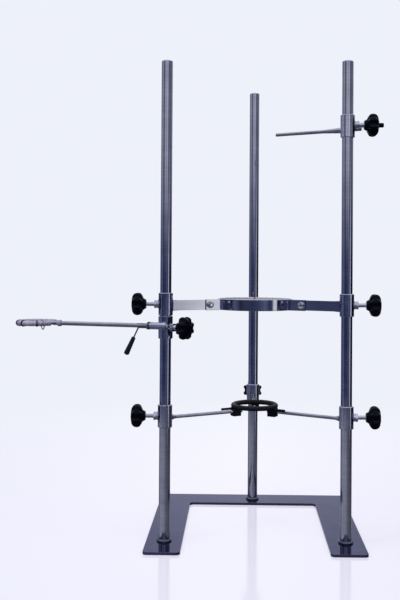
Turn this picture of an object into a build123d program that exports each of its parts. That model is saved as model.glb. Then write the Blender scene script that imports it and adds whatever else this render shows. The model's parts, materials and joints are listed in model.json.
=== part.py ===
"""Three-post laboratory support stand for a jacketed glass reactor, in millimetres.

A flat U-shaped steel foot carries three upright steel posts on an equilateral triangle. Clamp sleeves
with star knobs slide on the posts and hold a strap clamp and a rest ring for the vessel, a side arm
with a ring for a receiving flask, and a short rod for a stirrer.

The origin is on the floor under the vessel's axis, +X to the right, +Y to the rear post, +Z up.
"""

from build123d import *
from math import cos, degrees, radians, sin, sqrt
import os

os.makedirs("parts", exist_ok=True)

# ---- driving dimensions ----------------------------------------------------------------------
post_pitch = 400.0  # between neighbouring posts
post_radius = 12.5
post_round = 3.0
overall_height = 1068.0
fit_gap = 0.06  # radial, running fits
weld_gap = 0.05  # radial, pieces that are pressed or screwed together

plate_thickness = 6.0
plate_bar = 80.0
plate_corner = 9.0
front_overhang = 78.0  # from the front posts' centres to the front edge
collar_radius = 16.5
collar_height = 5.0
screw_radius = 5.0
screw_head_radius = 9.6
screw_head_height = 4.6
screw_length = 30.0

sleeve_radius = 16.0
sleeve_length = 50.0
boss_radius = 8.5
boss_end = 20.0  # from the post's axis
nut_flats = 17.0
nut_end = 25.0

knob_radius = 26.0
knob_lobes = 8
knob_depth = 32.5
hub_radius = 10.0
scallop_centre = 30.0
scallop_radius = 8.4
scallop_round = 2.4
# the knob's outline from its hub to its crown: depth from the hub's face, and radius
hub_edge = (5.0, 12.5)
star_back = (7.0, 15.0)
star_shoulder = (10.5, 23.0)
shoulder_curve = (12.5, 25.2)
rim_back = (15.5, 26.1)
rim_front = (23.5, 26.1)
front_curve = (29.3, 22.6)
front_edge = (31.3, 17.0)
crown_curve = (32.2, 9.0)
crown = (32.5, 0.0)
knob_reach = 43.0  # from the post's axis to the hub's face
short_reach = 36.0
nose_radius = 5.2
nose_length = 11.0
nose_root = 2.0
stud_radius = 5.0
upper_stud_radius = 6.0
stud_grip = 20.0  # how far the stud goes into the knob
stud_chamfer = 0.6
pad_gap = 0.3
pad_depth = 3.4
pad_clearance = 0.1

clamp_height = 528.0
band_height_offset = -3.0
band_radius = 88.0
band_thickness = 3.0
band_width = 25.0
liner_thickness = 2.0
arm_thickness = 5.0
arm_width = 23.0
arm_root = 9.0
arm_root_thickness = 10.0
arm_root_width = 24.0
strip_chamfer = 0.4
strap_bend = 5.0
ear_length = 46.0
ear_bolt = 122.4  # from the vessel's axis
bolt_radius = 4.0
bolt_flats = 13.0
bolt_head = 5.3
bolt_nut = 6.5
bolt_tail = 3.0

rest_height = 281.0
rest_rod_height = 277.3
rest_rod_radius = 4.0
rest_rod_tip = 34.0  # from the vessel's axis
rest_root_flare = 2.6
rest_root_length = 11.0
rod_chamfer = 0.8
rest_ring_radius = 49.5
rest_ring_height = 287.4
rest_core_radius = 3.5
cushion_radius = 6.0
clip_inner = 40.0
clip_outer = 58.0
clip_bottom = 266.5
clip_top = 286.5
clip_sides = (-12.0, 7.0)
thumb_offset = -8.0
thumb_height = 283.0
thumb_radius = 2.7
thumb_end = 84.0
thumb_hole = 5.0  # the depth of the screw's hole in the clip
thumb_grip = 1.5  # how far the screw goes into it

side_height = 477.0
side_rod_height = 481.0
side_turn = 17.0  # the side arm points this far behind -X
side_offset = 23.6  # the arm's axis from the post's axis
side_tube_radius = 8.0
side_tube_span = (-11.0, 27.0)  # along the arm, from the point nearest the post
side_rod_radius = 5.0
side_rod_start = -13.0
side_knob_angle = -35.4
side_ring_reach = 308.6
side_ring_radius = 42.0
side_core_radius = 4.0
side_cover_radius = 6.75
side_cover_gap = 34.0  # degrees left open where the rod is welded on
tie_angles = (-60.0, -105.0, -130.0)  # from the rod's direction, round the front
tie_width = 2.6
tie_thickness = 0.9
loop_angle = -42.0
loop_radius = 10.6
loop_wire = 1.3
loop_drop = 2.4
ferrule_span = (246.0, 254.5)
ferrule_radius = 7.2

lever_ring_radius = 8.6
lever_ring_width = 4.5
lever_lug_radius = 3.6
lever_lug_drop = 4.0
lever_lug_side = 7.4
lever_wire = 1.6
lever_run = 20.0
lever_bend = 5.0
lever_slope = 64.0
lever_shaft = 24.0
grip_start_radius = 4.4
grip_end_radius = 6.0
grip_length = 43.0
grip_hole = 12.0
grip_chamfer = 1.2
grip_round = 4.0

stirrer_height = 923.0
stirrer_screw_height = 926.0
stirrer_rod_height = 919.0
stirrer_turn = 155.0  # direction of the rod, seen from above
stirrer_offset = 22.0
stirrer_tube_radius = 6.5
stirrer_tube_span = (-8.0, 24.0)
stirrer_rod_radius = 4.0
stirrer_cone_end = 66.0
stirrer_rod_start = -25.0
stirrer_rod_end = 180.0

# ---- worked-out places -----------------------------------------------------------------------
post_circle = post_pitch / sqrt(3)
front_y = -post_circle / 2
left_post = Vector(-post_pitch / 2, front_y)
right_post = Vector(post_pitch / 2, front_y)
rear_post = Vector(0, post_circle)
post_places = {"left": left_post, "right": right_post, "rear": rear_post}
inward = {"left": 30.0, "right": 150.0, "rear": -90.0}  # from each post to the vessel's axis
outward = {"left": 180.0, "right": 0.0, "rear": 90.0}  # the way each clamp screw points
up = Vector(0, 0, 1)


def save(builder, name):
    builder.part.label = name
    export_step(builder.part, f"parts/{name}.step")


def heading(angle):
    return Vector(cos(radians(angle)), sin(radians(angle)), 0)


def across(place, height, angle, start=0.0):
    """A plane across a level line that runs from `place` in the given direction."""
    origin = Vector(place.X, place.Y, height) + heading(angle) * start
    return Plane(origin=origin, x_dir=heading(angle + 90), z_dir=heading(angle))


def along(place, height, angle):
    """An upright plane through a level line: local x runs along it, local y is up."""
    origin = Vector(place.X, place.Y, height)
    return Plane(origin=origin, x_dir=heading(angle), z_dir=heading(angle - 90))


def line_axis(place, height, angle):
    return Axis(Vector(place.X, place.Y, height), heading(angle))


# ---- foot and posts --------------------------------------------------------------------------
def make_base_plate():
    width = post_pitch + plate_bar
    rear = post_circle + plate_bar / 2
    front = front_y - front_overhang
    with BuildPart() as plate:
        with BuildSketch() as outline:
            with Locations((0, (front + rear) / 2)):
                Rectangle(width, rear - front)
            with Locations((0, front)):
                Rectangle(width - 2 * plate_bar, 2 * (rear - plate_bar - front), mode=Mode.SUBTRACT)
            fillet(outline.vertices(), plate_corner)
        extrude(amount=plate_thickness)
        chamfer(plate.faces().sort_by(Axis.Z)[-1].edges(), 0.5)
        for place in post_places.values():
            with BuildSketch():
                with Locations((place.X, place.Y)):
                    Circle(screw_radius + 0.3)
            extrude(amount=plate_thickness, mode=Mode.SUBTRACT)
            with BuildSketch():
                with Locations((place.X, place.Y)):
                    Circle(screw_head_radius + 0.2)
            with BuildSketch(Plane.XY.offset(screw_head_height)):
                with Locations((place.X, place.Y)):
                    Circle(screw_radius + 0.3)
            loft(mode=Mode.SUBTRACT)
    save(plate, "base_plate")


def make_posts():
    for side, place in post_places.items():
        with BuildPart() as post:
            with BuildSketch(Plane.XY.offset(plate_thickness)):
                with Locations((place.X, place.Y)):
                    Circle(post_radius)
            extrude(amount=overall_height - plate_thickness)
            fillet(post.faces().sort_by(Axis.Z)[-1].edges(), post_round)
            with BuildSketch(Plane.XY.offset(plate_thickness)):
                with Locations((place.X, place.Y)):
                    Circle(screw_radius + weld_gap)
            extrude(amount=screw_length - plate_thickness + 2, mode=Mode.SUBTRACT)
        save(post, f"{side}_post")


def make_foot_collars():
    with BuildPart() as collars:
        with BuildSketch(Plane.XY.offset(plate_thickness)):
            for place in post_places.values():
                with Locations((place.X, place.Y)):
                    Circle(collar_radius)
        extrude(amount=collar_height)
        chamfer(collars.faces().group_by(Axis.Z)[-1].edges(), 2.0)
        with BuildSketch(Plane.XY.offset(plate_thickness)):
            for place in post_places.values():
                with Locations((place.X, place.Y)):
                    Circle(post_radius + weld_gap)
        extrude(amount=collar_height, mode=Mode.SUBTRACT)
    save(collars, "foot_collars")


def make_foot_screws():
    with BuildPart() as screws:
        for place in post_places.values():
            with BuildSketch(Plane(origin=(place.X, place.Y, 0.2), x_dir=(1, 0, 0), z_dir=(0, -1, 0))):
                with BuildLine():
                    Polyline(
                        (0, 0),
                        (screw_head_radius, 0),
                        (screw_radius, screw_head_height),
                        (screw_radius, screw_length - 1),
                        (screw_radius - 1, screw_length),
                        (0, screw_length),
                        close=True,
                    )
                make_face()
            revolve(axis=Axis((place.X, place.Y, 0), up))
        for place in post_places.values():
            with BuildSketch(Plane.XY.offset(0.2)):
                with Locations((place.X, place.Y)):
                    RegularPolygon(3.0, 6, major_radius=False)
            extrude(amount=3.5, mode=Mode.SUBTRACT)
    save(screws, "foot_screws")


# ---- clamp sleeves, screws and knobs -----------------------------------------------------------
def sleeve_blank(place, height, screw_height, angle, hole_radius):
    """A sleeve with its welded boss and nut and their screw hole, not yet bored for the post."""
    with BuildPart() as blank:
        with BuildSketch(Plane.XY.offset(height - sleeve_length / 2)):
            with Locations((place.X, place.Y)):
                Circle(sleeve_radius)
        extrude(amount=sleeve_length)
        chamfer(blank.edges().filter_by(GeomType.CIRCLE), 1.0)
        with BuildSketch(across(place, screw_height, angle)):
            Circle(boss_radius)
        extrude(amount=boss_end)
        with BuildSketch(across(place, screw_height, angle, boss_end)):
            RegularPolygon(nut_flats / 2, 6, major_radius=False)
        extrude(amount=nut_end - boss_end)
        with BuildSketch(across(place, screw_height, angle)):
            Circle(hole_radius + fit_gap)
        extrude(amount=nut_end, mode=Mode.SUBTRACT)
    return blank.part


def make_sleeve(name, side, height):
    place = post_places[side]
    blank = sleeve_blank(place, height, height, outward[side], stud_radius)
    with BuildPart() as sleeve:
        add(blank)
        with BuildSketch(Plane.XY.offset(height - sleeve_length)):
            with Locations((place.X, place.Y)):
                Circle(post_radius + fit_gap)
        extrude(amount=2 * sleeve_length, mode=Mode.SUBTRACT)
    save(sleeve, f"{name}_sleeve")


def make_screw(name, place, height, angle, reach=knob_reach, radius=stud_radius, nose=0.0):
    """The star knob, its stud and the brass pad at the stud's tip, each a piece of its own."""
    start = post_radius + pad_gap
    with BuildPart() as pad:
        with BuildSketch(across(place, height, angle, start)):
            Circle(radius - pad_clearance)
        extrude(amount=pad_depth)
    save(pad, f"{name}_pad")

    stud_start = start + pad_depth + pad_clearance
    stud_end = reach + stud_grip
    with BuildPart() as stud:
        with BuildSketch(across(place, height, angle, stud_start)):
            Circle(radius)
        extrude(amount=stud_end - stud_start)
        chamfer(stud.edges().filter_by(GeomType.CIRCLE), stud_chamfer)
    save(stud, f"{name}_stud")

    with BuildPart() as knob:
        with BuildSketch(across(place, height, angle, reach)) as star:
            Circle(knob_radius)
            with PolarLocations(scallop_centre, knob_lobes, start_angle=180 / knob_lobes):
                Circle(scallop_radius, mode=Mode.SUBTRACT)
            fillet(star.vertices(), scallop_round)
        extrude(amount=knob_depth)
        with BuildSketch(along(Vector(place.X, place.Y) + heading(angle) * reach, height, angle)):
            with BuildLine():
                Polyline((0, 0), (0, hub_radius), hub_edge, star_back, star_shoulder)
                ThreePointArc(star_shoulder, shoulder_curve, rim_back)
                Line(rim_back, rim_front)
                ThreePointArc(rim_front, front_curve, front_edge)
                ThreePointArc(front_edge, crown_curve, crown)
                Line(crown, (0, 0))
            make_face()
        revolve(axis=line_axis(place, height, angle), mode=Mode.INTERSECT)
        if nose > 0:
            with BuildSketch(across(place, height, angle, reach + knob_depth - nose_root)):
                Circle(nose_radius)
            extrude(amount=nose + nose_root)
            chamfer(knob.faces().sort_by(line_axis(place, height, angle))[-1].edges(), 1.0)
        with BuildSketch(across(place, height, angle, reach)):
            Circle(radius + weld_gap)
        extrude(amount=stud_grip + 1, mode=Mode.SUBTRACT)
    save(knob, f"{name}_knob")


# ---- vessel clamp ------------------------------------------------------------------------------
def make_clamp_arm(side):
    """A flat bar from the sleeve to the band, with a thicker welded root."""
    place = post_places[side]
    level = clamp_height + band_height_offset
    bolt_from_post = post_circle - ear_bolt
    with BuildPart() as arm:
        with BuildSketch(across(place, level, inward[side])):
            Rectangle(arm_thickness, arm_width)
        extrude(amount=post_circle - band_radius + 2)
        with BuildSketch(across(place, level, inward[side])):
            Rectangle(arm_root_thickness, arm_root_width)
        extrude(amount=sleeve_radius + arm_root)
        chamfer(arm.faces().sort_by(line_axis(place, level, inward[side]))[-1].edges(), strip_chamfer)
        with BuildSketch(Plane.XY.offset(level - arm_width)):
            with Locations((place.X, place.Y)):
                Circle(sleeve_radius)
            Circle(band_radius)
        extrude(amount=2 * arm_width, mode=Mode.SUBTRACT)
        spot = Vector(place.X, place.Y, 0) + heading(inward[side]) * bolt_from_post
        with BuildSketch(across(spot, level, inward[side] + 90, -arm_thickness)):
            Circle(bolt_radius + 0.3)
        extrude(amount=2 * arm_thickness, mode=Mode.SUBTRACT)
    save(arm, f"clamp_{side}_arm")


def ring_sector(inner, outer, first, last):
    """A flat ring sector in the XY plane about the vessel's axis, as a closed sketch."""
    middle = (first + last) / 2
    with BuildSketch() as sector:
        with BuildLine():
            ThreePointArc(*[heading(a) * outer for a in (first, middle, last)])
            Line(heading(last) * outer, heading(last) * inner)
            ThreePointArc(*[heading(a) * inner for a in (last, middle, first)])
            Line(heading(first) * inner, heading(first) * outer)
        make_face()
    return sector.sketch


def make_bands():
    level = clamp_height + band_height_offset
    bottom = Plane.XY.offset(level - band_width / 2)
    inner = band_radius - band_thickness
    half_arm = degrees(arm_thickness / 2 / band_radius)
    with BuildPart() as rear_band:
        with BuildSketch(bottom):
            add(ring_sector(inner, band_radius, -30 - half_arm, 210 + half_arm))
        extrude(amount=band_width)
        chamfer(rear_band.faces().group_by(Axis.Z)[0].edges(), strip_chamfer)
        chamfer(rear_band.faces().group_by(Axis.Z)[-1].edges(), strip_chamfer)
    save(rear_band, "clamp_rear_band")

    ear_gap = arm_thickness / 2 + 0.1
    ear_mid = ear_gap + band_thickness / 2
    strap_edge = degrees(ear_gap / inner)
    with BuildPart() as front_strap:
        with BuildSketch(bottom) as strap:
            add(ring_sector(inner, band_radius, -150 + strap_edge, -30 - strap_edge))
            for post_angle, turn in ((-150, 90), (-30, -90)):
                reach = inner + 1 + ear_length / 2
                middle = heading(post_angle) * reach + heading(post_angle + turn) * ear_mid
                with Locations(Location(middle, (0, 0, post_angle))):
                    Rectangle(ear_length, band_thickness)
            bends = strap.vertices().filter_by(
                lambda v: abs(sqrt(v.X**2 + v.Y**2) - band_radius) < 0.6 and v.Y < 0
            )
            fillet(bends, strap_bend)
        extrude(amount=band_width)
        chamfer(front_strap.faces().group_by(Axis.Z)[0].edges(), strip_chamfer)
        chamfer(front_strap.faces().group_by(Axis.Z)[-1].edges(), strip_chamfer)
        for post_angle, turn in ((-150, 90), (-30, -90)):
            spot = heading(post_angle) * ear_bolt
            with BuildSketch(across(spot, level, post_angle + turn)):
                Circle(bolt_radius + 0.3)
            extrude(amount=4 * band_thickness, mode=Mode.SUBTRACT)
    save(front_strap, "clamp_front_strap")

    with BuildPart() as liner:
        with BuildSketch(Plane.XY.offset(level - band_width / 2 - 0.5)):
            add(ring_sector(inner - liner_thickness, inner, 92, 448))
        extrude(amount=band_width + 1)
    save(liner, "clamp_liner")


def make_clamp_bolts():
    level = clamp_height + band_height_offset
    head_start = arm_thickness / 2 + 0.1 + band_thickness
    with BuildPart() as bolts:
        for post_angle, turn in ((-150, 90), (-30, -90)):
            spot = heading(post_angle) * ear_bolt
            front = post_angle + turn
            with BuildSketch(across(spot, level, front, head_start)):
                RegularPolygon(bolt_flats / 2, 6, major_radius=False)
            extrude(amount=bolt_head)
            with BuildSketch(across(spot, level, front, -arm_thickness / 2 - bolt_nut - bolt_tail)):
                Circle(bolt_radius)
            extrude(amount=arm_thickness / 2 + bolt_nut + bolt_tail + head_start)
    save(bolts, "clamp_bolts")

    with BuildPart() as nuts:
        for post_angle, turn in ((-150, 90), (-30, -90)):
            spot = heading(post_angle) * ear_bolt
            with BuildSketch(across(spot, level, post_angle + turn, -arm_thickness / 2 - bolt_nut)):
                RegularPolygon(bolt_flats / 2, 6, major_radius=False)
                Circle(bolt_radius + weld_gap, mode=Mode.SUBTRACT)
            extrude(amount=bolt_nut)
    save(nuts, "clamp_nuts")


# ---- vessel rest -------------------------------------------------------------------------------
def make_rest_rod(side):
    """A round rod with a coned root, welded to the sleeve, its tip under the ring."""
    place = post_places[side]
    tip = post_circle - rest_rod_tip
    root = sleeve_radius - 1
    with BuildPart() as rod:
        with BuildSketch(along(place, rest_rod_height, inward[side])):
            with BuildLine():
                Polyline(
                    (root, 0),
                    (root, rest_rod_radius + rest_root_flare),
                    (root + rest_root_length, rest_rod_radius),
                    (tip - rod_chamfer, rest_rod_radius),
                    (tip, rest_rod_radius - rod_chamfer),
                    (tip, 0),
                    close=True,
                )
            make_face()
        revolve(axis=line_axis(place, rest_rod_height, inward[side]))
        with BuildSketch(Plane.XY.offset(rest_height - sleeve_length / 2)):
            with Locations((place.X, place.Y)):
                Circle(sleeve_radius)
        extrude(amount=sleeve_length, mode=Mode.SUBTRACT)
    save(rod, f"rest_{side}_rod")


def make_rest_ring():
    centre = (rest_ring_radius, 0)
    ring_plane = Plane(origin=(0, 0, rest_ring_height), x_dir=(1, 0, 0), z_dir=(0, -1, 0))
    with BuildPart() as core:
        with BuildSketch(ring_plane):
            with Locations(centre):
                Circle(rest_core_radius)
        revolve(axis=Axis.Z)
    save(core, "rest_ring")

    with BuildPart() as cushion:
        with BuildSketch(ring_plane):
            with Locations(centre):
                Circle(cushion_radius)
                Circle(rest_core_radius + weld_gap, mode=Mode.SUBTRACT)
        revolve(axis=Axis.Z)
    save(cushion, "rest_cushion")


def make_rest_clips():
    ring_plane = Plane(origin=(0, 0, rest_ring_height), x_dir=(1, 0, 0), z_dir=(0, -1, 0))
    low, high = clip_sides
    origin = Vector(0, 0, 0)
    post_angles = [inward[side] + 180 for side in post_places]
    with BuildPart() as clips:
        for angle in post_angles:
            with BuildSketch(across(origin, 0, angle, clip_inner)):
                with Locations(((low + high) / 2, (clip_bottom + clip_top) / 2)):
                    RectangleRounded(high - low, clip_top - clip_bottom, 2.0)
            extrude(amount=clip_outer - clip_inner)
        for angle in post_angles:
            with BuildSketch(across(origin, rest_rod_height, angle, rest_rod_tip - 2)):
                Circle(rest_rod_radius + weld_gap)
            extrude(amount=clip_outer, mode=Mode.SUBTRACT)
            with BuildSketch(across(origin, thumb_height, angle, clip_outer - thumb_hole)):
                with Locations((thumb_offset, 0)):
                    Circle(thumb_radius + weld_gap)
            extrude(amount=clip_outer, mode=Mode.SUBTRACT)
        with BuildSketch(ring_plane):
            with Locations((rest_ring_radius, 0)):
                Circle(cushion_radius + weld_gap)
        revolve(axis=Axis.Z, mode=Mode.SUBTRACT)
    save(clips, "rest_clips")

    with BuildPart() as thumbs:
        for angle in post_angles:
            with BuildSketch(across(origin, thumb_height, angle, clip_outer - thumb_grip)):
                with Locations((thumb_offset, 0)):
                    Circle(thumb_radius)
            extrude(amount=thumb_end - clip_outer + thumb_grip)
        chamfer(thumbs.edges().filter_by(GeomType.CIRCLE), 0.7)
    save(thumbs, "rest_clip_screws")


# ---- side arm ----------------------------------------------------------------------------------
arm_heading = 180 - side_turn
arm_start = left_post + heading(arm_heading + 90) * side_offset  # the arm's point nearest the post
ring_centre = arm_start + heading(arm_heading) * side_ring_reach


def make_side_sleeve():
    first, last = side_tube_span
    blank = sleeve_blank(left_post, side_height, side_height, side_knob_angle, stud_radius)
    with BuildPart() as sleeve:
        add(blank)
        with BuildSketch(across(arm_start, side_rod_height, arm_heading, first)):
            Circle(side_tube_radius)
        extrude(amount=last - first)
        with BuildSketch(Plane.XY.offset(side_height - sleeve_length)):
            with Locations((left_post.X, left_post.Y)):
                Circle(post_radius + fit_gap)
        extrude(amount=2 * sleeve_length, mode=Mode.SUBTRACT)
        with BuildSketch(across(arm_start, side_rod_height, arm_heading, first)):
            Circle(side_rod_radius + fit_gap)
        extrude(amount=last - first, mode=Mode.SUBTRACT)
    save(sleeve, "side_sleeve")


def ring_section(angle):
    """The plane across the side ring's tube at an angle from the rod's direction."""
    spoke = heading(arm_heading + 180 + angle)
    return Plane(
        origin=ring_centre + up * side_rod_height + spoke * side_ring_radius,
        x_dir=spoke,
        z_dir=heading(arm_heading + 270 + angle),
    )


def make_side_ring():
    ring_axis = Axis(ring_centre, up)
    with BuildPart() as core:
        with BuildSketch(ring_section(0)):
            Circle(side_core_radius)
        revolve(axis=ring_axis)
    save(core, "side_ring")

    with BuildPart() as rod:
        with BuildSketch(across(arm_start, side_rod_height, arm_heading, side_rod_start)):
            Circle(side_rod_radius)
        extrude(amount=side_ring_reach - side_ring_radius - side_rod_start)
        chamfer(rod.faces().sort_by(Axis.X)[-1].edges(), rod_chamfer)
        with BuildSketch(ring_section(0)):
            Circle(side_core_radius)
        revolve(axis=ring_axis, mode=Mode.SUBTRACT)
    save(rod, "side_rod")

    with BuildPart() as cover:
        with BuildSketch(ring_section(side_cover_gap / 2)):
            Circle(side_cover_radius)
            Circle(side_core_radius + weld_gap, mode=Mode.SUBTRACT)
        revolve(axis=ring_axis, revolution_arc=360 - side_cover_gap)
    save(cover, "side_ring_cover")

    with BuildPart() as ties:
        for angle in tie_angles:
            with BuildSketch(ring_section(angle)):
                Circle(side_cover_radius + tie_thickness)
                Circle(side_cover_radius + weld_gap, mode=Mode.SUBTRACT)
            extrude(amount=tie_width / 2, both=True)
        with BuildSketch(ring_section(0)):
            Circle(side_cover_radius + tie_thickness + 2)
        revolve(axis=ring_axis, mode=Mode.INTERSECT)
    save(ties, "side_ring_ties")


def make_side_trim():
    spoke = heading(arm_heading + 180 + loop_angle)
    centre = ring_centre + up * (side_rod_height - loop_drop) + spoke * side_ring_radius
    tangent = heading(arm_heading + 270 + loop_angle)
    with BuildPart() as loop:
        with BuildSketch(Plane(origin=centre + spoke * loop_radius, x_dir=spoke, z_dir=up)):
            Circle(loop_wire)
        revolve(axis=Axis(centre, tangent))
    save(loop, "side_ring_loop")

    first, last = ferrule_span
    with BuildPart() as ferrule:
        with BuildSketch(across(arm_start, side_rod_height, arm_heading, first)):
            Circle(ferrule_radius)
        extrude(amount=last - first)
        chamfer(ferrule.edges(), 1.0)
        with BuildSketch(across(arm_start, side_rod_height, arm_heading, first)):
            Circle(side_rod_radius + weld_gap)
        extrude(amount=last - first, mode=Mode.SUBTRACT)
    save(ferrule, "side_ferrule")


def make_lever():
    """A ring nut on the arm, a bent wire out of its lug and a plastic grip."""
    start = side_tube_span[1] + 0.3
    front = heading(arm_heading + 90)
    lug = arm_start + front * lever_lug_side - up * lever_lug_drop
    with BuildPart() as nut:
        with BuildSketch(across(arm_start, side_rod_height, arm_heading, start)):
            Circle(lever_ring_radius)
        extrude(amount=lever_ring_width)
        with BuildSketch(across(lug, side_rod_height - lever_lug_drop, arm_heading, start)):
            Circle(lever_lug_radius)
        extrude(amount=lever_ring_width)
        with BuildSketch(across(arm_start, side_rod_height, arm_heading, start)):
            Circle(side_rod_radius + 0.3)
        extrude(amount=lever_ring_width, mode=Mode.SUBTRACT)
        with BuildSketch(across(lug, side_rod_height - lever_lug_drop, arm_heading, start + 1)):
            Circle(lever_wire + weld_gap)
        extrude(amount=lever_ring_width, mode=Mode.SUBTRACT)
    save(nut, "lever_nut")

    side_plane = along(lug, side_rod_height - lever_lug_drop, arm_heading)
    wire_start = start + 1
    corner = (start + lever_ring_width + lever_run, 0)
    shaft_dir = (cos(radians(lever_slope)), -sin(radians(lever_slope)))
    wire_end = tuple(c + d * (lever_shaft + grip_hole) for c, d in zip(corner, shaft_dir))
    with BuildPart() as wire:
        with BuildLine(side_plane) as route:
            FilletPolyline((wire_start, 0), corner, wire_end, radius=lever_bend)
        with BuildSketch(across(lug, side_rod_height - lever_lug_drop, arm_heading, wire_start)):
            Circle(lever_wire)
        sweep(path=route.line)
    save(wire, "lever_wire")

    grip_from = side_plane.from_local_coords(
        Vector(*[c + d * lever_shaft for c, d in zip(corner, shaft_dir)])
    )
    grip_dir = side_plane.x_dir * shaft_dir[0] + side_plane.y_dir * shaft_dir[1]
    grip_plane = Plane(origin=grip_from, x_dir=grip_dir, z_dir=side_plane.z_dir)
    with BuildPart() as grip:
        with BuildSketch(grip_plane):
            with BuildLine():
                Polyline((0, 0), (0, grip_start_radius - grip_chamfer), (grip_chamfer, grip_start_radius))
                Line((grip_chamfer, grip_start_radius), (grip_length - grip_round, grip_end_radius))
                ThreePointArc(
                    (grip_length - grip_round, grip_end_radius),
                    (grip_length - 0.28 * grip_round, grip_end_radius - 0.3 * grip_round),
                    (grip_length, grip_end_radius - grip_round),
                )
                Polyline((grip_length, grip_end_radius - grip_round), (grip_length, 0), (0, 0))
            make_face()
        revolve(axis=Axis(grip_from, grip_dir))
        with BuildSketch(Plane(origin=grip_from, z_dir=grip_dir)):
            Circle(lever_wire + weld_gap)
        extrude(amount=grip_hole + 0.5, mode=Mode.SUBTRACT)
    save(grip, "lever_grip")


# ---- stirrer support ---------------------------------------------------------------------------
rod_start = right_post + heading(stirrer_turn - 90) * stirrer_offset


def make_stirrer_support():
    first, last = stirrer_tube_span
    blank = sleeve_blank(right_post, stirrer_height, stirrer_screw_height, 0, upper_stud_radius)
    with BuildPart() as sleeve:
        add(blank)
        with BuildSketch(across(rod_start, stirrer_rod_height, stirrer_turn, first)):
            Circle(stirrer_tube_radius)
        extrude(amount=last - first)
        with BuildSketch(Plane.XY.offset(stirrer_height - sleeve_length)):
            with Locations((right_post.X, right_post.Y)):
                Circle(post_radius + fit_gap)
        extrude(amount=2 * sleeve_length, mode=Mode.SUBTRACT)
        with BuildSketch(across(rod_start, stirrer_rod_height, stirrer_turn, first)):
            Circle(stirrer_rod_radius + weld_gap)
        extrude(amount=last - first, mode=Mode.SUBTRACT)
    save(sleeve, "stirrer_sleeve")

    with BuildPart() as rod:
        with BuildSketch(along(rod_start, stirrer_rod_height, stirrer_turn)):
            with BuildLine():
                Polyline(
                    (stirrer_rod_start, 0),
                    (stirrer_rod_start, stirrer_rod_radius - rod_chamfer),
                    (stirrer_rod_start + rod_chamfer, stirrer_rod_radius),
                    (last + 0.1, stirrer_rod_radius),
                    (last + 0.1, stirrer_tube_radius),
                    (stirrer_cone_end, stirrer_rod_radius),
                    (stirrer_rod_end - rod_chamfer, stirrer_rod_radius),
                    (stirrer_rod_end, stirrer_rod_radius - rod_chamfer),
                    (stirrer_rod_end, 0),
                    close=True,
                )
            make_face()
        revolve(axis=line_axis(rod_start, stirrer_rod_height, stirrer_turn))
    save(rod, "stirrer_rod")


make_base_plate()
make_posts()
make_foot_collars()
make_foot_screws()

for side in ("left", "right"):
    make_sleeve(f"clamp_{side}", side, clamp_height)
    make_screw(f"clamp_{side}", post_places[side], clamp_height, outward[side])
    make_clamp_arm(side)
make_bands()
make_clamp_bolts()

for side in post_places:
    make_sleeve(f"rest_{side}", side, rest_height)
    make_screw(f"rest_{side}", post_places[side], rest_height, outward[side])
    make_rest_rod(side)
make_rest_ring()
make_rest_clips()

make_side_sleeve()
make_screw("side", left_post, side_height, side_knob_angle, reach=short_reach)
make_side_ring()
make_side_trim()
make_lever()

make_stirrer_support()
make_screw(
    "stirrer",
    right_post,
    stirrer_screw_height,
    0,
    reach=short_reach,
    radius=upper_stud_radius,
    nose=nose_length,
)
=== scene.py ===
"""Looks and studio for the three-post laboratory stand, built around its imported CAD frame.

Places come from the frame: a CAD node's box, its vertices or a joint. Lengths are in metres.
Pieces that turn about a line are made along their own local X axis and then set on that line.
"""

import json
from math import atan2, ceil, copysign, cos, exp, log, pi, radians, sin, sqrt, tan

import bmesh
import bpy
import numpy as np
from mathutils import Matrix, Vector, noise


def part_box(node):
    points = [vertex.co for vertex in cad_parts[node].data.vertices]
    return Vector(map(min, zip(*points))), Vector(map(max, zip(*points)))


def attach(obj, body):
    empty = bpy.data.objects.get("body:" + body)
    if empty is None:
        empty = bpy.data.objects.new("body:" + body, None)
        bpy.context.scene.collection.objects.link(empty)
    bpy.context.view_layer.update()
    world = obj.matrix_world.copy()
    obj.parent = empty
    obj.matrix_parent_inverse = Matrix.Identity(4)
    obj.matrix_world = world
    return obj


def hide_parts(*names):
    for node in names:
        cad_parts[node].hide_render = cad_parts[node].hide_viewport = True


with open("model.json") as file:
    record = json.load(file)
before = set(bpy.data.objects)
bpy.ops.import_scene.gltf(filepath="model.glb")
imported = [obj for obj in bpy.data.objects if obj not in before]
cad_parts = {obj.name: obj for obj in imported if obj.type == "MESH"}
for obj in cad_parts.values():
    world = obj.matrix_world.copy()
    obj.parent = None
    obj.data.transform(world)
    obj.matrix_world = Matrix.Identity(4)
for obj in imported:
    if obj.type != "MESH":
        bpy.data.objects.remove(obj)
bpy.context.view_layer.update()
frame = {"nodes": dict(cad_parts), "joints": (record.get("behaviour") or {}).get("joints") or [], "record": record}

# ---- sizes of what is remade in finer detail than the CAD has ---------------------------------
screw_pitch = 0.0015
upper_screw_pitch = 0.00175
bolt_pitch = 0.00125
thread_depth = 0.6  # of the pitch
thread_rows = 8  # rows of points for each turn of thread
thread_sides = 28

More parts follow.
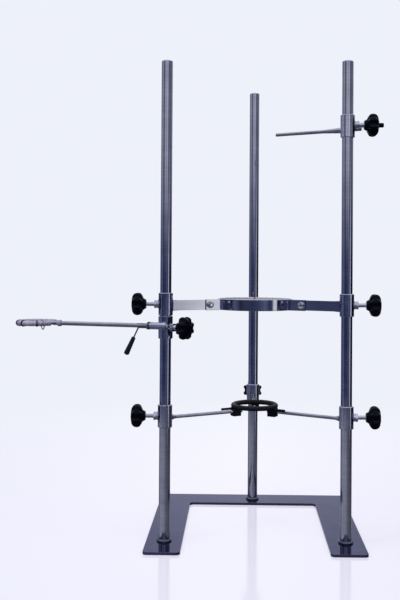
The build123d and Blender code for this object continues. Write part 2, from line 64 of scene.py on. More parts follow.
knob_lobes = 8
lobe_sides = 16  # points round each lobe
lobe_radius = 0.026
scallop_centre = 0.030
scallop_radius = 0.0088
lobe_softness = 0.0005
lobe_start = 0.011  # radius at which the knob's hub begins to swell into lobes
lobe_full = 0.020
knob_profile = (  # depth from the hub's face, and radius
    (0.0000, 0.0092), (0.0003, 0.0098), (0.0010, 0.0102), (0.0045, 0.0121), (0.0058, 0.0130),
    (0.0070, 0.0150), (0.0082, 0.0176), (0.0100, 0.0211), (0.0112, 0.0230), (0.0125, 0.0243),
    (0.0140, 0.0251), (0.0158, 0.0257), (0.0178, 0.0260), (0.0196, 0.0260), (0.0214, 0.0259),
    (0.0232, 0.0255), (0.0250, 0.0248), (0.0268, 0.0236), (0.0282, 0.0222), (0.0295, 0.0202),
    (0.0306, 0.0174), (0.0313, 0.0145), (0.0317, 0.0120), (0.0314, 0.0113), (0.0314, 0.0106),
    (0.0320, 0.0101), (0.0323, 0.0070), (0.0325, 0.0030), (0.0325, 0.0004),
)
nose_profile = ((0.0318, 0.0060), (0.0330, 0.0053), (0.0425, 0.0050), (0.0433, 0.0042), (0.0435, 0.0004))
nose_sides = 40

bolt_flats = 0.013
bolt_head = 0.0053
bolt_radius = 0.004
hex_sides = 72
hex_slope = tan(radians(28))  # of the turned corners
hex_face = 0.95  # the radius of the end face, as a share of half the flats
hex_edge = 0.0001
washer_radius = 0.0078
washer_thickness = 0.0011
washer_edge = 0.0002
washer_sides = 48

bead_radius = 0.0011
bead_ripple = 0.0045  # from one weld ripple to the next
ripple_depth = 0.16  # of the bead's radius
bead_sides = 10
saddle_points = 96
boss_radius = 0.0085
arm_root_half = (0.005, 0.012)  # half the width and height of a clamp arm's welded root
arm_squareness = 0.25
rod_root_half = (0.0064, 0.0064)
post_weld_points = 90
post_weld_sink = 0.0004  # below the collar's top
post_weld_gap = 0.0003  # outside the post

up = Vector((0, 0, 1))
joints = {joint["name"]: joint for joint in frame["joints"]}
body_of = {node: body for body, nodes in frame["record"]["behaviour"]["bodies"].items() for node in nodes}
screws = [name.removesuffix("_knob_turn") for name in joints if name.endswith("_knob_turn")]


# ---- mesh tools --------------------------------------------------------------------------------
def set_on(origin, direction):
    """A matrix whose local X runs along `direction` from `origin`, with local Z as upright as it can be."""
    x_axis = Vector(direction).normalized()
    y_axis = up.cross(x_axis).normalized()
    z_axis = x_axis.cross(y_axis)
    return Matrix.Translation(origin) @ Matrix((x_axis, y_axis, z_axis)).transposed().to_4x4()


def points_of(node):
    return np.array([vertex.co for vertex in frame["nodes"][node].data.vertices])


def extent(points, origin, direction):
    """Where points begin and end along a line from `origin`, and their greatest distance from it."""
    offsets = points - np.array(origin)
    run = offsets @ np.array(direction)
    away = np.linalg.norm(offsets - np.outer(run, np.array(direction)), axis=1)
    return run.min(), run.max(), away.max()


def screw_line(screw):
    """A point on a clamp screw's line, and the line's direction, away from the post."""
    joint = joints[f"{screw}_knob_turn"]
    return Vector(joint["pos_m"]), Vector(joint["axis"])


def skin(rows, looped=False):
    """Faces over rows of points, each row a closed ring; unless looped, the two ends are capped."""
    count, width = len(rows), len(rows[0])
    faces = []
    for row in range(count if looped else count - 1):
        here, there = row * width, (row + 1) % count * width
        for i in range(width):
            j = (i + 1) % width
            faces.append((here + i, here + j, there + j, there + i))
    if not looped:
        faces.append(tuple(range(width)))
        faces.append(tuple(range((count - 1) * width, count * width)))
    return [point for row in rows for point in row], faces


def piece(name, shells, slot, body, place=None, sharp=40):
    """One object from one or more (vertices, faces) shells, in its slot's material, riding on a body."""
    builder = bmesh.new()
    for vertices, faces in shells:
        made = [builder.verts.new(point) for point in vertices]
        for face in faces:
            builder.faces.new([made[i] for i in face])
    bmesh.ops.recalc_face_normals(builder, faces=builder.faces)
    mesh = bpy.data.meshes.new(name)
    builder.to_mesh(mesh)
    builder.free()
    mesh.shade_smooth()
    mesh.set_sharp_from_angle(angle=radians(sharp))
    mesh.materials.append(looks[slot])
    made = bpy.data.objects.new(name, mesh)
    bpy.context.scene.collection.objects.link(made)
    if place:
        made.matrix_world = place
    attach(made, body)
    return made


def turns_of(sides):
    """Angles evenly spaced round a ring."""
    return [2 * pi * i / sides for i in range(sides)]


def ring(run, radius, sides):
    """Points of one ring about the local X axis; radius may be a number or a function of the angle."""
    turns = turns_of(sides)
    sizes = [radius(turn) if callable(radius) else radius for turn in turns]
    return [Vector((run, size * cos(turn), size * sin(turn))) for turn, size in zip(turns, sizes)]


def looped_tube(path, radius, outward, sides):
    """A tube along a looped path; radius(i) is its size at each point, and its first row faces `outward`."""
    rows = []
    for i, middle in enumerate(path):
        tangent = (path[(i + 1) % len(path)] - path[i - 1]).normalized()
        side = (outward - tangent * outward.dot(tangent)).normalized()
        other = tangent.cross(side)
        size = radius(i)
        rows.append([middle + (side * cos(turn) + other * sin(turn)) * size for turn in turns_of(sides)])
    return skin(rows, looped=True)


def hexagon(turn, flats):
    """Radius of a hexagon at an angle."""
    return flats / 2 / cos((turn + pi / 6) % (pi / 3) - pi / 6)


def hex_shell(first, last, flats, chamfer_first=True):
    """A hexagon bar along local X with turned corners at its outer end, and at its inner end if asked."""
    flat = flats / 2

    def turned(run, inward):
        turns = turns_of(hex_sides)
        sizes = [hexagon(turn, flats) for turn in turns]
        return [
            Vector((run + inward * (size - flat) * hex_slope, size * cos(turn), size * sin(turn)))
            for turn, size in zip(turns, sizes)
        ]

    return skin([
        ring(last, flat * hex_face, hex_sides),
        turned(last - hex_edge, -1),
        turned(first + hex_edge, 1 if chamfer_first else 0),
        ring(first, flat * hex_face, hex_sides),
    ])


def threaded(first, last, radius, pitch):
    """A threaded bar along local X; the thread runs out at both ends."""
    rows = []
    count = ceil((last - first) / pitch * thread_rows)
    for i in range(count + 1):
        run = first + (last - first) * i / count
        fade = min(1, 2 * min(i, count - i) / thread_rows)

        def crest(turn):
            phase = run / pitch - turn / (2 * pi)
            groove = thread_depth * pitch * (0.5 - 0.5 * cos(2 * pi * phase)) * fade
            return radius - groove - (1 - fade) * pitch / 2

        rows.append(ring(run, crest, thread_sides))
    return skin(rows)


# ---- materials ---------------------------------------------------------------------------------
class Nodes:
    """A node tree being wired."""

    def __init__(self, tree):
        self.tree = tree

    def node(self, kind, **settings):
        made = self.tree.nodes.new(kind)
        for name, value in settings.items():
            setattr(made, name, value)
        return made

    def link(self, source, target):
        self.tree.links.new(source, target)

    def mapped(self, source, low, high, start, end, **settings):
        """A value moved from the range low...high to start...end."""
        made = self.node("ShaderNodeMapRange", **settings)
        self.link(source, made.inputs["Value"])
        for name, value in zip(("From Min", "From Max", "To Min", "To Max"), (low, high, start, end)):
            made.inputs[name].default_value = value
        return made.outputs["Result"]

    def ramp(self, source, *stops):
        """A colour picked from (position, colour) stops."""
        made = self.node("ShaderNodeValToRGB")
        elements = made.color_ramp.elements
        while len(elements) < len(stops):
            elements.new(0.5)
        for element, (position, colour) in zip(elements, stops):
            element.position = position
            element.color = (*colour, 1)
        self.link(source, made.inputs["Fac"])
        return made.outputs["Color"]

    def math(self, kind, first, second):
        made = self.node("ShaderNodeMath", operation=kind)
        for socket, value in zip(made.inputs, (first, second)):
            if isinstance(value, (int, float)):
                socket.default_value = value
            else:
                self.link(value, socket)
        return made.outputs["Value"]


class Look(Nodes):
    """A material being made: one Principled shader, with textures in the object's own coordinates."""

    def __init__(self, name, colour, roughness, **sockets):
        self.material = bpy.data.materials.new(name)
        self.material.use_nodes = True
        super().__init__(self.material.node_tree)
        self.shader = self.tree.nodes["Principled BSDF"]
        self.shader.inputs["Base Color"].default_value = (*colour, 1)
        self.shader.inputs["Roughness"].default_value = roughness
        for socket, value in sockets.items():
            self.shader.inputs[socket.replace("_", " ")].default_value = value
        self.place = self.node("ShaderNodeTexCoord").outputs["Object"]

    def noise(self, scale, stretch=(1, 1, 1), detail=3.0, rough=0.55):
        mapping = self.node("ShaderNodeMapping")
        mapping.inputs["Scale"].default_value = stretch
        self.link(self.place, mapping.inputs["Vector"])
        made = self.node("ShaderNodeTexNoise")
        self.link(mapping.outputs["Vector"], made.inputs["Vector"])
        made.inputs["Scale"].default_value = scale
        made.inputs["Detail"].default_value = detail
        made.inputs["Roughness"].default_value = rough
        return made.outputs["Fac"]

    def tinted(self, source, factor, kind="MULTIPLY"):
        """A colour blended with a grey pattern."""
        made = self.node("ShaderNodeMix", data_type="RGBA", blend_type=kind)
        made.inputs["Factor"].default_value = 1
        self.link(source, made.inputs["A"])
        self.link(factor, made.inputs["B"])
        return made.outputs["Result"]

    def colour(self, source):
        self.link(source, self.shader.inputs["Base Color"])

    def roughness(self, source):
        self.link(source, self.shader.inputs["Roughness"])

    def bump(self, *layers):
        """Layers of (height source, height in metres), stacked on one another."""
        normal = None
        for source, height in layers:
            made = self.node("ShaderNodeBump")
            made.inputs["Distance"].default_value = height
            self.link(source, made.inputs["Height"])
            if normal:
                self.link(normal, made.inputs["Normal"])
            normal = made.outputs["Normal"]
        self.link(normal, self.shader.inputs["Normal"])


def shade(colour, factor):
    return tuple(min(1.0, channel * factor) for channel in colour)


def steel(name, colour, smooth, worn, grain, speckle=0.0, bump=1.0, edge=(1, 1, 1)):
    """Polished steel with fine lines, faint smudges and darker specks.

    Its roughness runs from smooth to worn. The lines run along the axes in which the grain's scale is small.
    """
    look = Look(name, colour, smooth, Metallic=1.0, Specular_Tint=(*edge, 1))
    smudge = look.noise(26, detail=4)
    lines = look.noise(1500, grain, detail=2, rough=0.7)
    wide = look.noise(240, grain, detail=2)
    tone = look.ramp(smudge, (0.30, shade(colour, 0.86)), (0.52, colour), (0.75, shade(colour, 1.12)))
    streak = look.ramp(wide, (0.25, (0.86, 0.86, 0.88)), (0.60, (1, 1, 1)))
    base = look.tinted(tone, streak)
    if speckle:
        specks = look.noise(330, detail=5, rough=0.75)
        dark = (1 - speckle,) * 3
        base = look.tinted(base, look.ramp(specks, (0.40, dark), (0.56, (1, 1, 1))))
    look.colour(base)
    rough = look.mapped(smudge, 0.3, 0.75, smooth, worn)
    fine = look.mapped(lines, 0.3, 0.7, -0.02, 0.04)
    look.roughness(look.math("ADD", rough, fine))
    look.bump((lines, bump * 0.000001), (smudge, bump * 0.000005))
    return look.material


def moulded(name, colour, roughness, grain_scale, grain_height, gloss):
    """Moulded plastic or rubber: a fine skin texture, uneven gloss and lighter worn ridges."""
    look = Look(name, colour, roughness, Specular_IOR_Level=gloss)
    grain = look.noise(grain_scale, detail=4, rough=0.6)
    patches = look.noise(70, detail=3)
    tone = look.ramp(patches, (0.30, shade(colour, 0.75)), (0.70, shade(colour, 1.35)))
    ridges = look.node("ShaderNodeNewGeometry").outputs["Pointiness"]
    wear = look.ramp(ridges, (0.50, (0, 0, 0)), (0.60, shade(colour, 1.5)))
    look.colour(look.tinted(tone, wear, "ADD"))
    look.roughness(look.mapped(patches, 0.3, 0.7, roughness * 0.8, roughness * 1.35))
    look.bump((grain, grain_height), (patches, 0.0001))
    return look.material


def wrapped_hose(name, colour):
    """Old hose plastic, mottled and stained."""
    look = Look(name, colour, 0.42, Coat_Weight=0.15, Coat_Roughness=0.3)
    mottle = look.noise(120, detail=5, rough=0.7)
    stain = look.noise(34, detail=3)
    dark, dull, pale = shade(colour, 0.35), shade(colour, 0.85), shade(colour, 1.5)
    tone = look.ramp(mottle, (0.32, dark), (0.45, dull), (0.62, colour), (0.75, pale))
    look.colour(look.tinted(tone, look.ramp(stain, (0.35, (0.72, 0.70, 0.78)), (0.65, (1, 1, 1)))))
    look.roughness(look.mapped(mottle, 0.3, 0.7, 0.30, 0.55))
    look.bump((mottle, 0.0004), (stain, 0.0003))
    return look.material


def clear_liner(name, colour):
    """Milky plastic strip with a faint haze."""
    look = Look(name, colour, 0.3, Subsurface_Weight=0.2, Subsurface_Scale=0.002)
    haze = look.noise(90, detail=4)
    look.colour(look.ramp(haze, (0.3, shade(colour, 0.92)), (0.7, colour)))
    look.roughness(look.mapped(haze, 0.3, 0.7, 0.22, 0.42))
    look.bump((haze, 0.0001))
    return look.material


plate_grain = (0.03, 1, 1)  # lines from side to side
round_grain = (0.02, 0.02, 1)  # lines round an upright bar
strip_grain = (0.03, 0.03, 1)  # level lines
cross_grain = (1, 0.03, 0.03)  # lines across a bar that runs from side to side
no_grain = (1, 1, 1)

looks = {
    "base_steel": steel(
        "base steel", (0.085, 0.082, 0.165), 0.04, 0.12, plate_grain, speckle=0.25, edge=(0.72, 0.74, 0.84)
    ),
    "post_steel": steel("post steel", (0.43, 0.44, 0.56), 0.05, 0.09, round_grain),
    "sleeve_steel": steel(
        "sleeve steel", (0.54, 0.55, 0.70), 0.08, 0.15, round_grain, speckle=0.32, bump=1.6
    ),
    "band_steel": steel("band steel", (0.53, 0.53, 0.62), 0.06, 0.11, strip_grain),
    "rod_steel": steel("rod steel", (0.43, 0.42, 0.51), 0.08, 0.16, cross_grain),
    "fastener_steel": steel("fastener steel", (0.80, 0.80, 0.86), 0.08, 0.16, no_grain, speckle=0.2),
    "dark_steel": steel("dark steel", (0.13, 0.13, 0.18), 0.22, 0.36, no_grain, speckle=0.3, bump=4),
    "brass_pad": steel("brass", (0.62, 0.48, 0.24), 0.22, 0.35, no_grain, speckle=0.2, bump=2),
    "black_plastic": moulded("black plastic", (0.001, 0.001, 0.004), 0.14, 900, 0.00002, gloss=0.07),
    "grip_plastic": moulded("grip plastic", (0.006, 0.008, 0.020), 0.30, 1100, 0.00002, gloss=0.25),
    "black_rubber": moulded("black rubber", (0.004, 0.004, 0.006), 0.50, 700, 0.00006, gloss=0.20),
    "hose_plastic": wrapped_hose("hose plastic", (0.36, 0.34, 0.42)),
    "liner_plastic": clear_liner("liner plastic", (0.62, 0.62, 0.66)),
}

for entry in frame["record"]["subparts"]:
    # The foot collars take the dark steel as painted shade: darker than their own steel, to stand in for the dim
    # reflections round their rims.
    slot = "dark_steel" if entry["node"] == "foot_collars" else entry["material_slot"]
    node = frame["nodes"][entry["node"]]
    node.data.materials.clear()
    node.data.materials.append(looks[slot])


# ---- clamp screws: threaded studs and star knobs -----------------------------------------------
def star(turn):
    """The knob's outline: lobes on a circle, with round scallops between them."""
    step = 2 * pi / knob_lobes
    off = (turn + step / 2) % step - step / 2
    reach = scallop_centre * sin(off)
    if abs(reach) >= scallop_radius:
        return lobe_radius
    scallop = scallop_centre * cos(off) - sqrt(scallop_radius**2 - reach**2)
    return min(lobe_radius, scallop)


def soft_least(first, second):
    """The smaller of two lengths, with the corner between them rounded."""
    return -lobe_softness * log(exp(-first / lobe_softness) + exp(-second / lobe_softness))


def knob_shell(hub):
    """Lobes that are full at the rim and melt into the round hub and crown."""
    rows = []
    for depth, radius in knob_profile:
        share = min(1, max(0, (radius - lobe_start) / (lobe_full - lobe_start)))
        share = share * share * (3 - 2 * share)

        def lobed(turn):
            outline = soft_least(lobe_radius, star(turn)) / lobe_radius
            return radius * (1 - share * (1 - outline))

        rows.append(ring(hub + depth, lobed, knob_lobes * lobe_sides))
    return skin(rows)


def make_screw(name):
    """A clamp screw's knob and threaded stud; the stirrer's knob has a short nose and a coarser thread."""
    origin, direction = screw_line(name)
    place = set_on(origin, direction)
    knob, stud = f"{name}_knob", f"{name}_stud"
    upper = name == "stirrer"
    hub, _, _ = extent(points_of(knob), origin, direction)
    shells = [knob_shell(hub)]
    if upper:
        shells.append(skin([ring(hub + depth, radius, nose_sides) for depth, radius in nose_profile]))
    made = piece(f"{knob}_detail", shells, "black_plastic", body_of[knob], place, sharp=50)
    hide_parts(knob)

    first, last, radius = extent(points_of(stud), origin, direction)
    shell = threaded(first, last, radius, upper_screw_pitch if upper else screw_pitch)
    made = piece(f"{stud}_detail", [shell], "fastener_steel", body_of[stud], place)
    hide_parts(stud)


for name in screws:
    make_screw(name)


# ---- weld beads --------------------------------------------------------------------------------
def bead(name, path, outward, body):
    """A rippled weld bead along a looped path, half sunk in the metal."""
    lengths = [(path[(i + 1) % len(path)] - path[i]).length for i in range(len(path))]
    run = np.concatenate([[0], np.cumsum(lengths)])

    def size(i):
        return bead_radius * (1 + ripple_depth * cos(2 * pi * run[i] / bead_ripple))

    piece(name, [looped_tube(path, size, outward, bead_sides)], "dark_steel", body, sharp=60)


def saddle(origin, direction, sleeve_radius, half_width, half_height, squareness=1.0):
    """A looped path where a bar meets an upright sleeve; the bar is round at squareness 1, square near 0."""
    across = up.cross(direction)
    path = []
    for turn in turns_of(saddle_points):
        wide = copysign(half_width * abs(cos(turn)) ** squareness, cos(turn))
        high = copysign(half_height * abs(sin(turn)) ** squareness, sin(turn))
        depth = sqrt(sleeve_radius**2 - wide**2)
        path.append(origin + direction * depth + across * wide + up * high)
    return path


def sleeve_size(sleeve, origin):
    """The sleeve's outer radius, from the points near its ends."""
    end_band = 0.002
    points = points_of(sleeve)
    low, high = points[:, 2].min(), points[:, 2].max()
    ends = points[(points[:, 2] < low + end_band) | (points[:, 2] > high - end_band)]
    return np.linalg.norm(ends[:, :2] - np.array(origin)[:2], axis=1).max()


def weld_boss(screw):
    """A bead round the boss of a clamp screw."""
    origin, direction = screw_line(screw)
    sleeve = f"{screw}_sleeve"
    path = saddle(origin, direction, sleeve_size(sleeve, origin), boss_radius, boss_radius)
    bead(f"{screw}_boss_weld", path, direction, body_of[sleeve])


def weld_bar(bar, screw, half_size, squareness):
    """A bead round the root of a bar that runs from a screw's sleeve to the vessel's axis."""
    sleeve = f"{screw}_sleeve"
    centre, _ = screw_line(screw)
    low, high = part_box(bar)
    origin = Vector((centre.x, centre.y, (low.z + high.z) / 2))
    direction = -Vector((centre.x, centre.y, 0)).normalized()
    path = saddle(origin, direction, sleeve_size(sleeve, origin), *half_size, squareness)
    bead(f"{bar}_weld", path, direction, body_of[sleeve])


def weld_post(side):
    """A bead where a post leaves its foot collar."""
    low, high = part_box(f"{side}_post")
    _, collar_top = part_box("foot_collars")
    middle = Vector(((low.x + high.x) / 2, (low.y + high.y) / 2, collar_top.z - post_weld_sink))
    radius = (high.x - low.x) / 2 + post_weld_gap
    path = [middle + Vector((cos(turn), sin(turn), 0)) * radius for turn in turns_of(post_weld_points)]
    bead(f"{side}_post_weld", path, up, "stand")


for screw in screws:
    weld_boss(screw)
for side in ("left", "right"):
    weld_bar(f"clamp_{side}_arm", f"clamp_{side}", arm_root_half, arm_squareness)
for side in ("left", "right", "rear"):
    weld_bar(f"rest_{side}_rod", f"rest_{side}", rod_root_half, 1.0)
for side in ("left", "right", "rear"):
    weld_post(side)


# ---- clamp bolts, nuts and washers -------------------------------------------------------------
def placed(place, shell):
    """A shell moved onto its line."""
    vertices, faces = shell
    return [place @ Vector(point) for point in vertices], faces


def washer(inner, outer):
    """A thin disc along local X with softened edges."""
    face = washer_radius - washer_edge
    rim = ((inner + washer_edge, washer_radius), (outer - washer_edge, washer_radius))
    return skin([ring(run, radius, washer_sides) for run, radius in ((inner, face), *rim, (outer, face))])


def make_bolts():
    """Hexagon bolts through the strap's ears, each with a washer under its head and a chamfered nut."""
    heads, nuts = points_of("clamp_bolts"), points_of("clamp_nuts")
    bolt_shells, nut_shells = [], []
    for sign in (-1, 1):
        bolt = heads[heads[:, 0] * sign > 0]
        nut = nuts[nuts[:, 0] * sign > 0]
        middle = Vector((bolt.min(0) + bolt.max(0)) / 2)
        spoke = Vector((middle.x, middle.y, 0)).normalized()
        along = bolt @ np.array(spoke)
        centre = spoke * float((along.min() + along.max()) / 2) + up * middle.z
        direction = spoke.cross(up) * (-1 if spoke.cross(up).y > 0 else 1)
        first, last, _ = extent(bolt, centre, direction)
        inner, outer, _ = extent(nut, centre, direction)
        place = set_on(centre, direction)
        seat = last - bolt_head
        bolt_shells.append(placed(place, washer(seat, seat + washer_thickness)))
        bolt_shells.append(placed(place, hex_shell(seat + washer_thickness, last, bolt_flats, False)))
        bolt_shells.append(placed(place, threaded(first, seat, bolt_radius, bolt_pitch)))
        nut_shells.append(placed(place, hex_shell(inner, outer, bolt_flats)))
    for node, shells in (("clamp_bolts", bolt_shells), ("clamp_nuts", nut_shells)):
        made = piece(f"{node}_detail", shells, "fastener_steel", "vessel_clamp")
        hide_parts(node)


make_bolts()


# ---- rubber and plastic rings ------------------------------------------------------------------
arc_sides = 28


def arc_tube(name, centre, first, last, ring_radius, section, slot, body, count):
    """A bent tube about an upright axis; section(angle, turn) gives its radius."""
    whole = abs(last - first) > 2 * pi - 1e-6
    rows = []
    for i in range(count if whole else count + 1):
        angle = first + (last - first) * i / count
        spoke = Vector((cos(angle), sin(angle), 0))
        row = []
        for turn in turns_of(arc_sides):
            size = section(angle, turn)
            row.append(centre + spoke * (ring_radius + size * cos(turn)) + up * size * sin(turn))
        rows.append(row)
    return piece(name, [skin(rows, whole)], slot, body, sharp=70)


def make_cushion():
    """The rest's rubber ring: a mould line round its top and a slightly uneven, pressed surface."""
    low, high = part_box("rest_cushion")
    centre = (low + high) / 2
    tube_radius = (high.z - low.z) / 2
    ring_radius = (high.x - low.x) / 2 - tube_radius
    allowance = 0.0003  # taken off the radius, to leave room for the lumps and the mould line
    lump_height = 0.00012
    lump_scale = 3
    seam_height = 0.0002
    seam_width = 0.09  # radians

    def section(angle, turn):
        spot = Vector((cos(angle) * 2, sin(angle) * 2, turn)) * lump_scale
        lumps = noise.noise(spot) * lump_height
        seam = seam_height * exp(-((turn - pi / 2) / seam_width) ** 2)
        return tube_radius - allowance + lumps + seam

    made = arc_tube(
        "rest_cushion_detail", centre, 0, 2 * pi, ring_radius, section, "black_rubber", "vessel_rest", 180
    )
    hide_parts("rest_cushion")


def make_ring_cover():
    """Hose slit and wrapped round the side ring, with creases across it and a gap at the rod."""
    core_low, core_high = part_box("side_ring")
    centre = (core_low + core_high) / 2
    core = (core_high.z - core_low.z) / 2
    ring_radius = (core_high.x - core_low.x) / 2 - core
    points = points_of("side_ring_cover")
    tube_radius = (points[:, 2].max() - points[:, 2].min()) / 2
    rod = Vector(joints["side_reach"]["axis"]) * -1
    heading = atan2(rod.y, rod.x)
    open_half = radians(17)  # half of the gap
    wraps = 46  # creases in a full turn
    crease_depth = 0.0009
    allowance = 0.0006  # taken off the radius, to leave room for the lumps
    lump_height = 0.0005
    lump_scale = 9

    def section(angle, turn):
        wave = 0.5 + 0.5 * cos(wraps * (angle - heading) + turn)
        spot = Vector((cos(angle), sin(angle), 0)) * lump_scale + Vector((0, 0, turn))
        lumps = noise.noise(spot) * lump_height
        return tube_radius - allowance - wave**3 * crease_depth + lumps

    first, last = heading + open_half, heading + 2 * pi - open_half
    made = arc_tube(
        "side_ring_cover_detail", centre, first, last, ring_radius, section, "hose_plastic", "side_arm", 420
    )
    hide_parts("side_ring_cover")


def make_liner():
    """The clamp's plastic liner, a strip with lips along its top and bottom that press on the vessel."""
    points = points_of("clamp_liner")
    away = np.linalg.norm(points[:, :2], axis=1)
    inner, outer = away.min(), away.max()
    low, high = points[:, 2].min(), points[:, 2].max()
    lip = 0.0007
    first, last = radians(92), radians(448)
    outline = [
        (inner + lip, low), (outer - lip / 2, low), (outer, low + lip), (outer, high - lip),
        (outer - lip / 2, high), (inner + lip, high), (inner + 0.2 * lip, high - 0.5 * lip),
        (inner + 0.1 * lip, high - 3 * lip), (inner + lip, high - 5 * lip), (inner + lip, low + 5 * lip),
        (inner + 0.1 * lip, low + 3 * lip), (inner + 0.2 * lip, low + 0.5 * lip),
    ]
    rows = []
    for angle in np.linspace(first, last, 181):
        spoke = (cos(angle), sin(angle))
        rows.append([Vector((radius * spoke[0], radius * spoke[1], level)) for radius, level in outline])
    made = piece("clamp_liner_detail", [skin(rows)], "liner_plastic", "vessel_clamp", sharp=50)
    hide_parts("clamp_liner")


make_cushion()
make_ring_cover()
make_liner()


# ---- studio ------------------------------------------------------------------------------------
# Each ramp: degrees round from the front, + to the right, and brightness.
middle_light = (
    (-180, 0.95), (-165, 0.92), (-155, 0.15), (-135, 0.20), (-112, 0.34), (-97, 0.10), (-82, 0.34),
    (-72, 0.31), (-65, 0.23), (-58, 0.19), (-46, 0.06), (-30, 0.12), (-8, 0.11), (12, 0.16), (30, 0.28),
    (44, 0.10), (53, 0.18), (57, 1.00), (67, 1.00), (71, 0.14), (83, 0.03), (105, 0.03), (133, 0.01),
    (154, 0.02), (164, 0.92), (180, 0.95),
)
upper_light = (
    (-180, 0.95), (-150, 0.45), (-115, 0.30), (-84, 0.68), (-60, 0.18), (-38, 0.36), (-18, 0.85),
    (-2, 0.48), (20, 0.90), (38, 0.22), (58, 0.30), (66, 0.30), (88, 0.20), (120, 0.45), (150, 0.50),
    (180, 0.95),
)
lower_light = (
    (-180, 0.90), (-150, 0.25), (-125, 0.12), (-95, 0.42), (-70, 0.50), (-48, 0.40), (-25, 0.44),
    (-6, 0.36), (12, 0.22), (30, 0.14), (50, 0.12), (72, 0.08), (100, 0.02), (150, 0.10), (180, 0.90),
)
under_light = (0.035, 0.035, 0.055)
ceiling_light = (0.90, 0.93, 1.02)
backdrop = (0.855, 0.880, 0.956)
floor_colour = (0.30, 0.31, 0.33)
floor_glow = (0.85, 0.80, 0.94)
aim = (0, 0, 0.5)  # what the softboxes point at


def make_floor():
    """A pale glossy floor that fades into the backdrop, and is dimmer in the steel than to the eye."""
    glow_mirrored, glow_seen = 0.06, 0.53
    opacity_mirrored = 0.3
    fade_start, fade_end = 0.35, 1.9
    bpy.ops.mesh.primitive_circle_add(vertices=128, radius=9, fill_type="NGON")
    floor = bpy.context.object
    floor.name = "floor"
    look = Look("floor", floor_colour, 0.10)
    look.shader.inputs["Emission Color"].default_value = (*floor_glow, 1)
    seen = look.node("ShaderNodeLightPath").outputs["Is Camera Ray"]
    look.link(look.mapped(seen, 0, 1, glow_mirrored, glow_seen), look.shader.inputs["Emission Strength"])
    length = look.node("ShaderNodeVectorMath", operation="LENGTH")
    look.link(look.place, length.inputs[0])
    fade = look.mapped(length.outputs["Value"], fade_start, fade_end, 1, 0)
    opacity = look.mapped(seen, 0, 1, opacity_mirrored, 1)
    look.link(look.math("MULTIPLY", fade, opacity), look.shader.inputs["Alpha"])
    floor.data.materials.append(look.material)


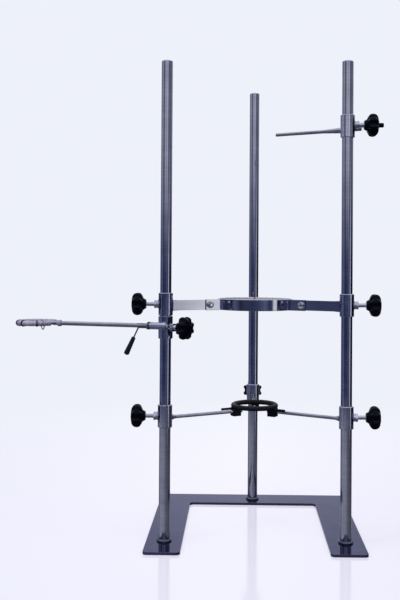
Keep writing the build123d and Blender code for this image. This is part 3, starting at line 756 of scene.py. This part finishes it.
def make_world():
    """The studio that the steel mirrors: a white backdrop, light strips, a dim room and a bright ceiling."""
    world = bpy.data.worlds.new("studio")
    bpy.context.scene.world = world
    world.use_nodes = True
    studio = Nodes(world.node_tree)
    studio.tree.nodes.clear()
    ray = studio.node("ShaderNodeSeparateXYZ")
    studio.link(studio.node("ShaderNodeTexCoord").outputs["Generated"], ray.inputs[0])
    forward = studio.math("MULTIPLY", ray.outputs["Y"], -1)
    angle = studio.math("ARCTAN2", ray.outputs["X"], forward)
    share = studio.mapped(angle, -pi, pi, 0, 1)

    def banded(first, second, low, high):
        """One colour giving way to another between two heights of a direction."""
        step = studio.mapped(ray.outputs["Z"], low, high, 0, 1, interpolation_type="SMOOTHSTEP")
        made = studio.node("ShaderNodeMix", data_type="RGBA")
        studio.link(step, made.inputs["Factor"])
        for colour, socket in ((first, made.inputs["A"]), (second, made.inputs["B"])):
            if isinstance(colour, tuple):
                socket.default_value = (*colour, 1)
            else:
                studio.link(colour, socket)
        return made.outputs["Result"]

    def round_about(levels, red, green):
        """Light by direction round the stand; the darker it is, the bluer."""
        stops = []
        for degrees_round, level in levels:
            tint = (level * (red + (1 - red) * level), level * (green + (1 - green) * level), level)
            stops.append(((degrees_round + 180) / 360, tint))
        return studio.ramp(share, *stops)

    room = banded(under_light, round_about(lower_light, 0.85, 0.85), -0.55, -0.30)
    room = banded(room, round_about(middle_light, 0.30, 0.42), -0.21, -0.14)
    room = banded(room, round_about(upper_light, 0.70, 0.74), -0.02, 0.17)
    room = banded(room, ceiling_light, 0.30, 0.75)
    lit = studio.node("ShaderNodeBackground")
    studio.link(room, lit.inputs["Color"])
    seen = studio.node("ShaderNodeBackground")
    seen.inputs["Color"].default_value = (*backdrop, 1)
    choose = studio.node("ShaderNodeMixShader")
    studio.link(studio.node("ShaderNodeLightPath").outputs["Is Camera Ray"], choose.inputs["Fac"])
    studio.link(lit.outputs[0], choose.inputs[1])
    studio.link(seen.outputs[0], choose.inputs[2])
    studio.link(choose.outputs[0], studio.node("ShaderNodeOutputWorld").inputs["Surface"])


def make_softbox(name, place, width, height, power):
    """A soft light that brightens what is matt; the world gives the steel its reflections."""
    light = bpy.data.lights.new(name, "AREA")
    light.shape = "RECTANGLE"
    light.size, light.size_y = width, height
    light.energy = power
    light.color = (0.90, 0.94, 1.0)
    made = bpy.data.objects.new(name, light)
    made.location = place
    made.rotation_euler = (Vector(aim) - Vector(place)).to_track_quat("-Z", "Y").to_euler()
    made.visible_camera = False
    made.visible_glossy = False
    bpy.context.scene.collection.objects.link(made)


def make_camera():
    """The photograph's viewpoint: a little left of the vessel's axis and just above half height."""
    place = Vector((-0.0371, -1.972, 0.6064))
    yaw, pitch, roll = radians(-1.07), radians(0.52), radians(0.355)
    forward = Vector((sin(yaw) * cos(pitch), cos(yaw) * cos(pitch), sin(pitch)))
    right = Vector((cos(yaw), -sin(yaw), 0))
    upward = right.cross(forward)
    x_axis = right * cos(roll) + upward * sin(roll)
    y_axis = upward * cos(roll) - right * sin(roll)
    camera = bpy.data.cameras.new("camera")
    camera.lens = 50.35
    camera.sensor_width = 36
    camera.shift_x = -0.0398
    camera.shift_y = -0.0643
    made = bpy.data.objects.new("camera", camera)
    turn = Matrix((x_axis, y_axis, -forward)).transposed().to_4x4()
    made.matrix_world = Matrix.Translation(place) @ turn
    bpy.context.scene.collection.objects.link(made)
    bpy.context.scene.camera = made


make_floor()
make_world()
make_camera()
make_softbox("overhead", place=(-0.4, -0.6, 2.4), width=1.6, height=1.2, power=26)
make_softbox("left_key", place=(-1.9, -1.3, 1.3), width=0.5, height=1.4, power=12)
make_softbox("right_fill", place=(1.6, -1.8, 0.9), width=0.4, height=1.2, power=6)
bpy.context.scene.view_settings.view_transform = "Standard"
